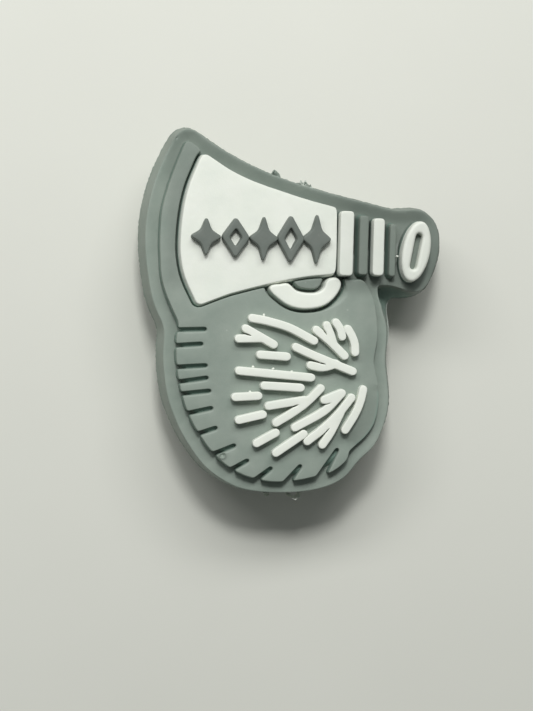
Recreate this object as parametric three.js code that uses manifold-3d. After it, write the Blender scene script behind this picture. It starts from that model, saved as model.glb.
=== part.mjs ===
// Silicone focal bead in the shape of a cheer megaphone over a pom-pom.
// It lies on its back: +Z is the way its face looks, +Y runs along its thread hole towards the
// top, and +X points to the megaphone's mouthpiece. The origin is the middle of the bottom
// of its box. Everything is in millimetres.

import * as THREE from 'three';
import { mergeVertices } from 'three/addons/utils/BufferGeometryUtils.js';
import Module from 'manifold-3d';

const wasm = await Module();
wasm.setup();

// ---- driving dimensions ----------------------------------------------------------------

// Levels above the back.
const PARTING_Z = 3.7;      // plane where the two mould halves met
const BORDER_Z = 6.4;       // top of the plain border round the relief
const RELIEF_Z = 7.3;       // top of the grey relief and of the white panel
const HANDLE_Z = 7.4;       // top of the white handle ring
const RAISED_Z = 8.0;       // top of the streaks, emblems, white bands and mouth ring

// Plan widths.
const HOLE_RADIUS = 1.0;    // thread hole, for a 2 mm rod or cord
const HOLE_X = -0.15;
const FRONT_DRAFT = 0.4;    // how far the border's top edge stands in from the parting line
const BACK_DRAFT = 0.25;    // the same at the start of the rounded back edge
const BACK_ROUND = 0.6;     // radius of the rounded back edge
const EDGE_ROUND = 0.25;    // softened top edge of the border
const STREAK_WIDTH = 0.65;
const EMBLEM_STROKE = 0.5;
const SLOT_WIDTH = 0.36;    // inner end of the furrows in the pom-pom's rim
const PANEL_GROOVE = 0.3;   // gap round the white panel
const RIM_GAP = 0.15;       // how much wider that gap is beside the rim band
const HANDLE_GROOVE = 0.4;  // gap round the handle ring
const SINK = 0.3;           // how far the relief is rooted in the front half before joining

// Fineness of the curves.
const CHORD_ERROR = 0.012;
const ARC_STEPS = 8;

// Colours of the silicones.
const GREY = 0x8f9b91;
const DARK_GREY = 0x6c736d;
const WHITE = 0xe3e7db;

// ---- outlines --------------------------------------------------------------------------

// The body's edge at the parting line, clockwise from the top of the bell.
const BODY_EDGE = [
  [-9.45, 15.0], [-9.0, 15.05], [-8.5, 14.95], [-7.75, 14.45], [-6.05, 13.4], [-4.35, 12.5],
  [-2.65, 11.75], [-0.65, 11.05], [1.8, 10.35], [4.1, 9.8], [6.7, 9.25], [8.3, 8.9],
  [8.95, 8.85], [9.35, 8.95], [9.85, 9.05], [10.85, 8.95], [11.8, 8.4], [12.45, 7.45],
  [12.65, 6.0], [12.55, 4.8], [12.2, 3.75], [11.7, 2.6], [11.4, 2.1], [10.8, 1.75],
  [9.95, 1.5], [9.2, 1.5], [8.65, 1.45], [8.3, 1.1], [8.2, 0.6], [8.4, -0.5], [8.45, -1.7],
  [8.35, -3.0], [8.35, -4.1], [8.6, -5.6], [8.7, -7.1], [8.6, -8.3], [8.1, -9.7],
  [7.65, -10.75], [7.2, -11.35], [6.5, -11.85], [6.0, -12.35], [5.55, -13.1], [4.9, -13.7],
  [3.75, -14.3], [1.9, -14.8], [-0.3, -15.0], [-2.3, -14.95], [-4.0, -14.7], [-5.5, -14.05],
  [-7.1, -12.95], [-8.3, -11.5], [-9.2, -10.15], [-9.9, -8.7], [-10.45, -7.2],
  [-10.8, -5.2], [-10.95, -3.2], [-10.85, -1.8], [-11.05, -1.25], [-11.5, -0.4],
  [-12.0, 1.0], [-12.3, 2.5], [-12.6, 4.6], [-12.65, 6.4], [-12.5, 8.0], [-12.2, 9.55],
  [-11.7, 11.2], [-11.05, 12.75], [-10.4, 13.95], [-9.95, 14.7],
];

// The grey relief: the bell's rim band and the pom-pom in one. Where this outline runs under
// the white panel or the handle ring, their grooves cut it back, which leaves an island inside
// the handle.
const RELIEF_EDGE = [
  [-9.15, 13.45], [-8.8, 13.4], [-8.15, 12.95], [-7.95, 12.7], [-7.9, 12.3], [-6.5, 7.0],
  [-5.0, 3.2], [-3.0, 2.5], [0.0, 2.75], [3.0, 3.0], [4.2, 2.75], [4.4, 2.7], [5.55, 2.7],
  [5.75, 2.6], [6.45, 1.5], [6.7, 0.8], [6.95, -0.9], [7.0, -2.0], [6.85, -3.1],
  [6.75, -3.95], [7.0, -5.1], [7.2, -6.1], [7.25, -7.5], [6.9, -9.1], [6.2, -10.15],
  [5.15, -11.1], [4.9, -11.35], [4.75, -11.95], [4.15, -12.6], [3.35, -13.1],
  [2.15, -13.45], [0.6, -13.8], [-1.4, -13.95], [-2.7, -13.75], [-3.9, -13.4],
  [-5.3, -12.6], [-6.4, -11.6], [-7.3, -10.45], [-8.25, -8.9], [-8.85, -7.4],
  [-9.2, -6.2], [-9.4, -5.0], [-9.55, -3.4], [-9.5, -2.0], [-9.4, -1.3], [-9.9, -0.2],
  [-10.4, 0.9], [-10.85, 2.3], [-11.05, 4.2], [-11.1, 6.0], [-11.0, 7.8], [-10.6, 9.6],
  [-10.0, 11.45], [-9.5, 12.75],
];

// The white panel: the megaphone's horn between the rim band and the first white band.
const PANEL_EDGE = [
  [-7.75, 12.45], [-7.45, 12.45], [-7.1, 12.25], [-5.55, 11.3], [-3.9, 10.55], [-1.4, 9.75],
  [1.1, 9.05], [2.85, 8.65], [3.2, 8.55], [3.3, 8.3], [3.35, 6.5], [3.35, 3.6], [3.25, 3.2],
  [2.95, 3.1], [1.25, 2.9], [-1.2, 2.4], [-3.65, 1.75], [-5.3, 1.25], [-6.9, 0.6],
  [-7.65, 0.32], [-7.95, 0.4], [-8.15, 0.75], [-8.7, 1.8], [-9.15, 3.0], [-9.4, 4.5],
  [-9.4, 6.4], [-9.15, 8.6], [-8.75, 10.2], [-8.3, 11.35], [-7.95, 12.2],
];

// The handle: a half ring whose two ends stop at the panel.
const HANDLE_EDGE = [
  [-2.05, 1.75], [-1.9, 2.0], [-1.2, 2.1], [-0.65, 2.2], [-0.4, 2.1], [-0.15, 1.85],
  [0.2, 1.6], [0.6, 1.5], [1.2, 1.45], [1.7, 1.5], [2.05, 1.7], [2.3, 2.0], [2.5, 2.4],
  [2.85, 2.7], [3.5, 2.75], [3.75, 2.55], [3.8, 2.2], [3.5, 1.5], [2.8, 0.75], [2.1, 0.4],
  [1.3, 0.25], [0.6, 0.22], [-0.05, 0.32], [-0.55, 0.5], [-1.05, 0.8], [-1.5, 1.15],
  [-1.85, 1.45],
];

// Furrows of the pom-pom's rim: the mouth, the centre of the round inner end, and how wide
// the mouth is.
const SLOTS = [
  { mouth: [-10.2, -1.85], end: [-7.25, -1.7], width: 0.38 },
  { mouth: [-10.2, -3.15], end: [-7.5, -2.9], width: 0.38 },
  { mouth: [-10.2, -4.9], end: [-7.1, -4.65], width: 0.38 },
  { mouth: [-10.0, -6.15], end: [-7.0, -5.65], width: 0.38 },
  { mouth: [-9.8, -7.1], end: [-6.75, -6.7], width: 0.38 },
  { mouth: [-9.2, -8.75], end: [-6.55, -8.1], width: 0.4 },
  { mouth: [-8.2, -10.45], end: [-6.15, -9.7], width: 0.42 },
  { mouth: [-6.8, -12.05], end: [-4.6, -11.1], width: 0.42 },
  { mouth: [-5.2, -13.3], end: [-3.5, -12.3], width: 0.44 },
  { mouth: [-3.11, -14.16], end: [-1.55, -12.9], width: 0.54 },
  { mouth: [-0.45, -14.4], end: [0.87, -12.66], width: 0.76 },
  { mouth: [2.43, -13.82], end: [3.87, -11.26], width: 0.84 },
];

// Streaks of the pom-pom: one stroke each, or two strokes that meet.
const STREAKS = [
  [[[-3.5, -0.7], [-2.45, -0.85], [-0.4, -1.4], [1.65, -2.4]]],
  [[[-4.0, -1.55], [-1.65, -2.8]], [[-4.55, -2.4], [-2.65, -2.3]]],
  [[[-2.75, -3.65], [-0.55, -3.75]]],
  [[[0.15, -2.95], [1.3, -3.45], [3.0, -4.1], [4.9, -4.8]],
    [[1.4, -4.4], [2.3, -4.55], [3.05, -4.4], [3.5, -4.2]]],
  [[[1.8, -1.5], [2.95, -2.4], [4.2, -3.55]], [[2.65, -1.1], [3.0, -1.9], [3.25, -2.7]]],
  [[[3.4, -0.85], [3.75, -1.35], [3.95, -2.0]]],
  [[[4.4, -1.35], [4.75, -1.9], [5.0, -2.55], [5.05, -3.25]]],
  [[[-4.45, -5.0], [1.5, -5.4]]],
  [[[-2.35, -6.15], [0.65, -6.25]]],
  [[[-4.7, -7.15], [-2.8, -7.0]]],
  [[[-1.95, -7.8], [1.0, -7.25]], [[-1.3, -9.15], [-0.2, -8.45], [1.2, -7.4], [2.3, -6.25]]],
  [[[-4.35, -9.0], [-2.4, -8.5]]],
  [[[-2.85, -10.85], [-1.3, -9.95]]],
  [[[0.25, -9.5], [1.05, -9.05], [2.7, -8.05], [4.05, -6.6]], [[2.6, -7.2], [4.0, -6.6]]],
  [[[1.3, -10.6], [2.3, -9.8], [3.65, -8.5], [4.85, -6.95]],
    [[2.55, -10.85], [3.2, -9.85], [4.0, -8.15]]],
  [[[5.8, -6.25], [5.65, -7.05], [5.25, -8.15], [4.4, -9.6]]],
  [[[-1.25, -11.6], [1.0, -10.0]]],
];

// Upright bands across the megaphone's throat: left, right, bottom, top.
const WHITE_BANDS = [
  [3.55, 4.65, 3.0, 8.25],
  [6.3, 7.2, 3.1, 7.75],
];
const GREY_BANDS = [
  [5.27, 6.0, 3.15, 7.95],
  [7.8, 8.3, 3.1, 7.35],
];
const BAND_CORNER = 0.25;

// The mouth ring: a leaning oval with a slot through it.
const RING_CENTRE = [9.9, 5.17];
const RING_HALF_LENGTH = 2.5;
const RING_HALF_WIDTH = 1.13;
const RING_LEAN = 10;
const RING_SLOT_LENGTH = 3.1;
const RING_SLOT_WIDTH = 0.6;

// Emblems on the panel: stars and diamonds in turn, growing towards the throat.
const EMBLEMS = [
  { x: -7.4, y: 5.8, width: 2.6, height: 3.2 },
  { x: -5.0, y: 5.8, width: 2.3, height: 3.3 },
  { x: -2.7, y: 5.8, width: 2.5, height: 3.75 },
  { x: -0.5, y: 5.85, width: 2.25, height: 3.9 },
  { x: 1.65, y: 5.9, width: 2.5, height: 4.2 },
];
const EMBLEM_ROUND = 0.25;
const STAR_WAIST = 0.46;    // a star's inner radius over its outer one

// ---- plane geometry --------------------------------------------------------------------

function vectors(points) {
  return points.map(([x, y]) => new THREE.Vector2(x, y));
}

// Drops the points of a dense line that lie within CHORD_ERROR of the chord around them.
function thinned(points) {
  if (points.length < 3) return points;
  const first = points[0];
  const last = points[points.length - 1];
  const chord = last.clone().sub(first);
  let farthest = 0;
  let index = 0;
  for (let i = 1; i < points.length - 1; i += 1) {
    const offset = points[i].clone().sub(first);
    const gap = chord.length() > 0 ? Math.abs(chord.cross(offset)) / chord.length() : offset.length();
    if (gap > farthest) {
      farthest = gap;
      index = i;
    }
  }
  if (farthest < CHORD_ERROR) return [first, last];
  return [...thinned(points.slice(0, index + 1)), ...thinned(points.slice(index)).slice(1)];
}

function curveThrough(points, closed) {
  const stations = points.map(([x, y]) => new THREE.Vector3(x, y, 0));
  const curve = new THREE.CatmullRomCurve3(stations, closed, 'centripetal');
  return curve.getPoints(stations.length * 10).map((p) => new THREE.Vector2(p.x, p.y));
}

function counterClockwise(loop) {
  return THREE.ShapeUtils.area(loop) > 0 ? loop : loop.reverse();
}

// A closed smooth outline through the given points.
function smoothLoop(points) {
  const dense = curveThrough(points, true);
  return counterClockwise(thinned(dense).slice(0, -1));
}

// The direction that points out of a counter-clockwise loop at each of its points.
function outwardNormals(loop) {
  return loop.map((point, i) => {
    const before = loop[(i + loop.length - 1) % loop.length];
    const after = loop[(i + 1) % loop.length];
    const incoming = point.clone().sub(before).normalize();
    const outgoing = after.clone().sub(point).normalize();
    const mean = incoming.clone().add(outgoing).normalize();
    const stretch = 1 / Math.max(0.5, mean.dot(outgoing));
    return new THREE.Vector2(mean.y, -mean.x).multiplyScalar(stretch);
  });
}

// The loop moved outwards by a distance, or inwards when it is negative.
function grown(loop, distance) {
  const normals = outwardNormals(loop);
  return loop.map((point, i) => point.clone().addScaledVector(normals[i], distance));
}

// A line of constant width with round ends, along a smooth path through the given points.
function stroke(points, width) {
  const path = points.length > 2 ? thinned(curveThrough(points, false)) : vectors(points);
  const half = width / 2;
  const left = [];
  const right = [];
  path.forEach((point, i) => {
    const before = path[Math.max(i - 1, 0)];
    const after = path[Math.min(i + 1, path.length - 1)];
    const along = after.clone().sub(before).normalize();
    const side = new THREE.Vector2(-along.y, along.x).multiplyScalar(half);
    left.push(point.clone().add(side));
    right.push(point.clone().sub(side));
  });
  const tail = roundEnd(path[path.length - 1], left[left.length - 1]);
  const head = roundEnd(path[0], right[0]);
  return counterClockwise([...left, ...tail, ...right.reverse(), ...head]);
}

// The points of a half circle about a centre, clockwise from a start point.
function roundEnd(centre, start) {
  const points = [];
  for (let i = 1; i < ARC_STEPS; i += 1) {
    points.push(start.clone().rotateAround(centre, (-Math.PI * i) / ARC_STEPS));
  }
  return points;
}

// A furrow's outline: wide at its mouth, and round at its inner end.
function furrow({ mouth, end, width }) {
  const [from, to] = vectors([mouth, end]);
  const along = to.clone().sub(from).normalize();
  const side = new THREE.Vector2(-along.y, along.x);
  const mouthLeft = from.clone().addScaledVector(side, width / 2);
  const mouthRight = from.clone().addScaledVector(side, -width / 2);
  const endLeft = to.clone().addScaledVector(side, SLOT_WIDTH / 2);
  const endRight = to.clone().addScaledVector(side, -SLOT_WIDTH / 2);
  return counterClockwise([mouthLeft, endLeft, ...roundEnd(to, endLeft), endRight, mouthRight]);
}

// A polygon whose corners are all rounded by a curve that starts the given distance away.
function roundedPolygon(corners, round) {
  const points = vectors(corners);
  const shape = new THREE.Shape();
  points.forEach((corner, i) => {
    const before = points[(i + points.length - 1) % points.length];
    const after = points[(i + 1) % points.length];
    const entry = corner.clone().lerp(before, Math.min(0.5, round / corner.distanceTo(before)));
    const exit = corner.clone().lerp(after, Math.min(0.5, round / corner.distanceTo(after)));
    if (i === 0) shape.moveTo(entry.x, entry.y);
    else shape.lineTo(entry.x, entry.y);
    shape.quadraticCurveTo(corner.x, corner.y, exit.x, exit.y);
  });
  const loop = shape.getPoints(ARC_STEPS);
  const open = loop.filter((p, i) => p.distanceTo(loop[(i + 1) % loop.length]) > 0.001);
  return counterClockwise(open);
}

function rectangle([left, right, bottom, top]) {
  return [[left, bottom], [right, bottom], [right, top], [left, top]];
}

function oval(centre, halfLength, halfWidth, leanDegrees) {
  const lean = THREE.MathUtils.degToRad(leanDegrees);
  const curve = new THREE.EllipseCurve(...centre, halfWidth, halfLength, 0, 2 * Math.PI, false, -lean);
  return curve.getPoints(ARC_STEPS * 6).slice(0, -1);
}

// ---- solids ----------------------------------------------------------------------------

// A straight-sided slab over an outline, with optional holes through it.
function slab(loop, bottom, top, holes = []) {
  const shape = new THREE.Shape(loop);
  shape.holes = holes.map((hole) => new THREE.Path(hole));
  const geometry = new THREE.ExtrudeGeometry(shape, { depth: top - bottom, bevelEnabled: false });
  return geometry.translate(0, 0, bottom);
}

// A closed skin over loops that all have the same number of points, given from low to high.
function stack(sections) {
  const count = sections[0].loop.length;
  const positions = sections.flatMap(({ loop, z }) => loop.flatMap((p) => [p.x, p.y, z]));
  const faces = [];
  for (let s = 0; s < sections.length - 1; s += 1) {
    for (let i = 0; i < count; i += 1) {
      const a = s * count + i;
      const b = s * count + ((i + 1) % count);
      faces.push(a, b, b + count, a, b + count, a + count);
    }
  }
  const topStart = (sections.length - 1) * count;
  for (const [a, b, c] of THREE.ShapeUtils.triangulateShape(sections[0].loop, [])) {
    faces.push(a, c, b);
  }
  for (const [a, b, c] of THREE.ShapeUtils.triangulateShape(sections.at(-1).loop, [])) {
    faces.push(topStart + a, topStart + b, topStart + c);
  }
  const geometry = new THREE.BufferGeometry();
  geometry.setAttribute('position', new THREE.Float32BufferAttribute(positions, 3));
  geometry.setIndex(faces);
  return geometry;
}

function solid(geometry) {
  const bare = geometry.clone();
  bare.deleteAttribute('normal');
  bare.deleteAttribute('uv');
  const merged = mergeVertices(bare, 1e-4);
  const mesh = new wasm.Mesh({
    numProp: 3,
    vertProperties: new Float32Array(merged.attributes.position.array),
    triVerts: new Uint32Array(merged.index.array),
  });
  return new wasm.Manifold(mesh);
}

function geometryOf(manifold) {
  const mesh = manifold.getMesh();
  const geometry = new THREE.BufferGeometry();
  geometry.setAttribute('position', new THREE.Float32BufferAttribute(mesh.vertProperties, 3));
  geometry.setIndex(Array.from(mesh.triVerts));
  return geometry;
}

function joined(geometries) {
  return geometries.map(solid).reduce((sum, next) => sum.add(next));
}

// ---- materials -------------------------------------------------------------------------

function silicone(color, roughness) {
  return new THREE.MeshStandardMaterial({ color, roughness, metalness: 0 });
}

function piece(name, geometry, material) {
  const mesh = new THREE.Mesh(geometry, material);
  mesh.name = name;
  return mesh;
}

// ---- the two halves of the body --------------------------------------------------------

// The thread hole, wider than the body along Y.
function threadHole() {
  const cylinder = new THREE.CylinderGeometry(HOLE_RADIUS, HOLE_RADIUS, 36, 24);
  return solid(cylinder.translate(HOLE_X, 0, PARTING_Z));
}

function backBody(edge) {
  const blank = stack([
    { loop: grown(edge, -BACK_DRAFT - BACK_ROUND), z: 0 },
    { loop: grown(edge, -BACK_DRAFT - BACK_ROUND * 0.3), z: BACK_ROUND * 0.3 },
    { loop: grown(edge, -BACK_DRAFT), z: BACK_ROUND },
    { loop: edge, z: PARTING_Z },
  ]);
  return geometryOf(solid(blank).subtract(threadHole()));
}

// The grey relief with its furrows, and the grooves that the inlays sit in.
function relief() {
  const root = BORDER_Z - SINK;
  let body = solid(slab(smoothLoop(RELIEF_EDGE), root, RELIEF_Z));
  for (const slot of SLOTS) {
    body = body.subtract(solid(slab(furrow(slot), BORDER_Z - 2 * SINK, RAISED_Z)));
  }
  const aside = new THREE.Vector2(-RIM_GAP, 0);
  const panelGroove = grown(smoothLoop(PANEL_EDGE), PANEL_GROOVE).map((p) => p.add(aside));
  const handleGroove = grown(smoothLoop(HANDLE_EDGE), HANDLE_GROOVE);
  for (const groove of [panelGroove, handleGroove]) {
    body = body.subtract(solid(slab(groove, BORDER_Z - 2 * SINK, RAISED_Z)));
  }
  const bands = GREY_BANDS.map((band) => {
    return solid(slab(roundedPolygon(rectangle(band), BAND_CORNER / 2), root, RELIEF_Z));
  });
  return bands.reduce((sum, next) => sum.add(next), body);
}

function frontBody(edge) {
  const blank = stack([
    { loop: edge, z: PARTING_Z },
    { loop: grown(edge, -FRONT_DRAFT + EDGE_ROUND * 0.4), z: BORDER_Z - EDGE_ROUND },
    { loop: grown(edge, -FRONT_DRAFT - EDGE_ROUND * 0.6), z: BORDER_Z },
  ]);
  return geometryOf(solid(blank).subtract(threadHole()).add(relief()));
}

// ---- inlays on the face ----------------------------------------------------------------

function hornPanel() {
  return slab(smoothLoop(PANEL_EDGE), BORDER_Z, RELIEF_Z);
}

function handleRing() {
  return slab(smoothLoop(HANDLE_EDGE), BORDER_Z, HANDLE_Z);
}

function whiteBand(band) {
  return slab(roundedPolygon(rectangle(band), BAND_CORNER), BORDER_Z, RAISED_Z);
}

function mouthRing() {
  const outer = oval(RING_CENTRE, RING_HALF_LENGTH, RING_HALF_WIDTH, RING_LEAN);
  const lean = THREE.MathUtils.degToRad(RING_LEAN);
  const reach = (RING_SLOT_LENGTH - RING_SLOT_WIDTH) / 2;
  const [x, y] = RING_CENTRE;
  const ends = [-reach, reach].map((t) => [x + t * Math.sin(lean), y + t * Math.cos(lean)]);
  return slab(outer, BORDER_Z, RAISED_Z, [stroke(ends, RING_SLOT_WIDTH)]);
}

function streak(strokes) {
  const bars = strokes.map((points) => slab(stroke(points, STREAK_WIDTH), RELIEF_Z, RAISED_Z));
  return bars.length > 1 ? geometryOf(joined(bars)) : bars[0];
}

// A four-pointed star, drawn out along its height.
function star({ x, y, width, height }) {
  const corners = [];
  for (let i = 0; i < 8; i += 1) {
    const reach = i % 2 === 0 ? 0.5 : 0.5 * STAR_WAIST;
    const angle = (i * Math.PI) / 4;
    corners.push([x + width * reach * Math.sin(angle), y + height * reach * Math.cos(angle)]);
  }
  return slab(roundedPolygon(corners, EMBLEM_ROUND), RELIEF_Z, RAISED_Z);
}

// An upright diamond drawn in one stroke, with an open middle.
function diamond({ x, y, width, height }) {
  const rhombus = (w, h) => [[x - w / 2, y], [x, y - h / 2], [x + w / 2, y], [x, y + h / 2]];
  const slope = Math.hypot(width, height);
  const inner = rhombus(width - (2 * EMBLEM_STROKE * slope) / height,
    height - (2 * EMBLEM_STROKE * slope) / width);
  const hole = roundedPolygon(inner, EMBLEM_ROUND / 2);
  return slab(roundedPolygon(rhombus(width, height), EMBLEM_ROUND), RELIEF_Z, RAISED_Z, [hole]);
}

// ---- the bead --------------------------------------------------------------------------

function bead() {
  const grey = silicone(GREY, 0.55);
  const darkGrey = silicone(DARK_GREY, 0.55);
  const white = silicone(WHITE, 0.5);
  const edge = smoothLoop(BODY_EDGE);
  const group = new THREE.Group();
  group.add(piece('back_body', backBody(edge), grey));
  group.add(piece('front_body', frontBody(edge), grey));
  group.add(piece('horn_panel', hornPanel(), white));
  group.add(piece('handle_ring', handleRing(), white));
  group.add(piece('mouth_ring', mouthRing(), white));
  WHITE_BANDS.forEach((band, i) => group.add(piece(`white_band_${i + 1}`, whiteBand(band), white)));
  EMBLEMS.forEach((emblem, i) => {
    const shape = i % 2 === 0 ? star(emblem) : diamond(emblem);
    group.add(piece(`emblem_${i + 1}`, shape, darkGrey));
  });
  STREAKS.forEach((strokes, i) => {
    const name = `streak_${String(i + 1).padStart(2, '0')}`;
    group.add(piece(name, streak(strokes), white));
  });
  return group;
}

export default bead();
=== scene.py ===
"""Looks of the silicone cheer-megaphone bead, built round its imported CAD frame.

Plan outlines are read back from the CAD nodes, so every piece sits exactly where its node is.
Lengths are in millimetres until a mesh is written, which happens in metres.
"""
from math import ceil, cos, pi, radians, sin

import bmesh
import bpy
import numpy as np
from mathutils import Matrix, Vector, kdtree, noise
from mathutils.geometry import convex_hull_2d, delaunay_2d_cdt


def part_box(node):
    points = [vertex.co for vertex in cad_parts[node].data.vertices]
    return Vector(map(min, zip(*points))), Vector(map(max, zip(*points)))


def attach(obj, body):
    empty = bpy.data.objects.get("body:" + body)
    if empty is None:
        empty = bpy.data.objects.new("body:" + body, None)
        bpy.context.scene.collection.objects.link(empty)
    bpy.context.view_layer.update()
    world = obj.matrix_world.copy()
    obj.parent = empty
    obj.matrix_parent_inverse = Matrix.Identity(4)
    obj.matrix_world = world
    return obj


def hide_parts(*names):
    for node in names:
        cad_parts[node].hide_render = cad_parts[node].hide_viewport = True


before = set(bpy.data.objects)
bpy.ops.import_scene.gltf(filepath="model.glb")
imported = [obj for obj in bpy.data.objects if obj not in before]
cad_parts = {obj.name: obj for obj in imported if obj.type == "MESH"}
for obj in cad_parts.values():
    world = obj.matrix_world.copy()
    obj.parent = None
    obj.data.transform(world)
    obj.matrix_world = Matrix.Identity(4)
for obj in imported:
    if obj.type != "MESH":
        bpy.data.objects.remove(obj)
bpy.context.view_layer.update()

MM = 0.001
MICRONS = 1000                       # in a millimetre
LEVEL_SLACK = 2                      # a face this many microns off a level still lies at it
NODES = sorted(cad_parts)
STREAKS = [n for n in NODES if n.startswith("streak_")]
EMBLEMS = [n for n in NODES if n.startswith("emblem_")]
BANDS = [n for n in NODES if n.startswith("white_band_")]


def low_z(node):
    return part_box(node)[0].z / MM


def high_z(node):
    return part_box(node)[1].z / MM


# Levels, from the frame.
PARTING_Z = low_z("front_body")
BORDER_Z = low_z("horn_panel")
RELIEF_Z = high_z("horn_panel")
ROOT_Z = BORDER_Z - 0.7              # the throat's raised pieces start below its sagging border
PAD_ROOT_Z = BORDER_Z - 0.5          # and the relief below the flat ground under it
ON_RELIEF_Z = RELIEF_Z - 0.06        # streaks and emblems are rooted a little way into it
ISLAND_Z = RELIEF_Z - 0.03
FURROW_Z = RELIEF_Z - 0.5
SLOT_Z = RELIEF_Z - 0.1
TORN_Z = PARTING_Z + 0.15            # torn flash lies this high

# The front wall leans in from the parting line by an amount that depends on which way it looks.
EDGE_INSET = 0.55                    # the CAD border outline lies this far in from the parting line
EDGE_ROUNDS = 200                    # of smoothing
LEAN_SIDE = 0.44
LEAN_END = 0.2
LEAN_RIGHTWARD = 0.06
LEAN_UPWARD = 0.1
LEAN_ROUNDS = 120                    # of smoothing
WALL_SHARES = (0.06, 0.14, 0.22, 0.32, 0.45, 0.7)   # of its height, where it is bent
RIDGE_ROUND = 0.09
GUTTER_WIDTH = 1.1                   # the border falls from its ridge over this width
GUTTER_START = 0.25                  # and starts this far down the curve of its fall
GUTTER_DEPTH = 0.22
GUTTER_TOP = 0.22                    # how much deeper it is along the top edge
GUTTER_FOOT = 0.18                   # and how much shallower along the bottom edge
FLASH = 0.055                        # how far the flash line stands out at the parting plane
FLASH_GRIT = 0.22                    # the size of its raggedness
FLASH_LEAST = 0.7                    # the share of it that is always there
FLASH_RAGGED = 0.9                   # and the share that comes and goes
FLASH_LOW = 0.02                     # its lower and upper edge, from the parting plane
FLASH_HIGH = 0.08

# The back half: how far its flat back stands in, how rounded its edge is, and its wall, as
# offsets from the parting line and heights from the parting plane.
BACK_INSET = 0.45
BACK_ROUND = 0.55
BACK_WALL = ((-0.25, -1.0), (-0.1, -0.1), (0.0, -0.03), (0.0, 0.0))

# The notch under the mouthpiece, where the wall lies further back up to a sharp corner.
NOTCH = np.array((8.6, 1.5))
NOTCH_LEAN = 0.5
NOTCH_REACH = 1.5
NOTCH_SHARP = 1.2                    # the outline is smoothed less than elsewhere this near it
NOTCH_ROUNDS = 16
NOTCH_RIDGE = np.array((8.0, 1.8))
NOTCH_CORNER = np.array((7.1, 2.25))
CORNER_REACH = 1.3
LEDGE_START = 0.1                    # the ledge at its foot lies this far above the parting plane
LEDGE_RISE = 0.9                     # and turns into wall over this height

# The mouthpiece sags a little towards its tip.
SAG_START = 8.6
SAG_END = 12.4
SAG_FLOOR = 0.8                      # only what lies above this y is mouthpiece
SAG_FLOOR_REACH = 1.5
SAG = 0.3

# The relief's lower right margin slopes down, and less so its right side from one x on.
MARGIN_CENTRE = np.array((6.4, -8.6))
MARGIN_REACH = 3.6
MARGIN_FADE = 1.4
MARGIN_SIDE = 5.0
MARGIN_SIDE_FADE = 1.5
MARGIN_SIDE_SHARE = 0.6
MARGIN_WIDTH = 1.3
MARGIN_FALL = 0.36

# The furrows round the pom-pom.
FURROWS_TOP = -0.2                   # they lie below this y
FURROW_MOUTH = 0.7                   # their floor ends this far short of their mouths
FURROW_STEP = 0.25                   # the outline of that floor is coarse, and smoothed in
FURROW_ROUNDS = 40                   # this many rounds
FURROW_GAP = 1.1                     # where the relief's outline has less room in front it is one
FURROW_SOFT_SIDE = np.array((-0.5, 0.85))
FURROW_SOFTENED = 0.12

# The handle: its groove is softest beside one spot, and its opening wider at its right end.
HANDLE_SIDE = np.array((3.9, 1.5))
HANDLE_SIDE_REACH = 1.3
HANDLE_SIDE_SOFTENED = (0.42, 0.36)  # how much further in, and down the wall
HANDLE_INSIDE = np.array((2.1, 1.9))
HANDLE_INSIDE_REACH = 0.75
HANDLE_WIDENED = 0.2

# Inlays: the least share of its lean and rounding that a tilted wall keeps, how far a grey foot
# stands out and reaches up into its inlay, and how far the slot's floor lies under its walls.
TILT_LEAST = 0.35
FOOT_PROUD = 0.015
FOOT_OVERLAP = 0.02
SLOT_TUCK = 0.2

# The two grey bands in the throat lean in, and more so to their left.
BAND_LEAN = 0.2
BAND_TILT = -0.17

# Where two branches of a streak part.
FORK_TURN = 1.5                      # the outline turns in by more than this, in radians
FORK_DEPTH = 0.35
FORK_WIDTH = 0.03

# A burst bubble with a raised rim, and a small void.
BUBBLE = np.array((-5.55, -11.9))
BUBBLE_RADIUS = 0.27
BUBBLE_RIM = 0.12
BUBBLE_RIM_WIDTH = 0.3               # in radii, like the pit's
BUBBLE_PIT = 0.3
BUBBLE_PIT_WIDTH = 0.7
VOID = np.array((-10.0, 13.9))
VOID_RADIUS = 0.16
VOID_DEPTH = 0.12

# The thread hole, and the torn flash at its ends.
HOLE_RADIUS = 1.0
HOLE_X = -0.15
HOLE_LENGTH = 36.0                   # of the cutter, so it is more than the bead's height
HOLE_FOOT = -15.0
TORN_THICKNESS = 0.1
TORN_HEIGHT = 0.2
TORN_CURL = 2.6                      # how steeply flash curls up beyond the hole's foot
TORN_END = 0.25                      # a ribbon's thickness at its ends, as a share
TORN_TAPER = 4                       # so it is full from about a fifth of its length on
TORN_ROUGH = 0.5
TORN_WAVES = 4                       # to the millimetre
TORN_PLANE = 7.7
NIB_BULGE = 0.45
NIB_WAVES = 1.4                      # to the radius

# A stretch of thicker flash on the parting line.
THICK_WIDTH = 0.04                   # more than the rest, and ragged by
THICK_RAGGED = 0.05
THICK_GRIT = 0.25
THICK_TAPER = 12                     # in points of the outline
THICK_ROOT = 0.15
THICK_LOW = 0.03
THICK_HIGH = 0.11

# How uneven the silicone is: the size of its waves and how far they go.
UNEVEN = 0.008
UNEVEN_SIZE = 1.6
BODY_SWELL = (4.0, 0.02)
RELIEF_SWELL = (3.0, 0.02)
INLAY_SWELL = (2.5, 0.015)
TORN_SWELL = (0.3, 0.25)
ELSEWHERE = Vector((31, 17, 5))      # a second part of the noise field
SWELL_PLANE = 3.3

# Fineness of the outlines and of the fields of points between them.
STEP = 0.08
MOVE_STEP = 0.05
MOVE_RELAXED = 0.12
FINE = 0.16
MEDIUM = 0.35
COARSE = 0.5

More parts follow.
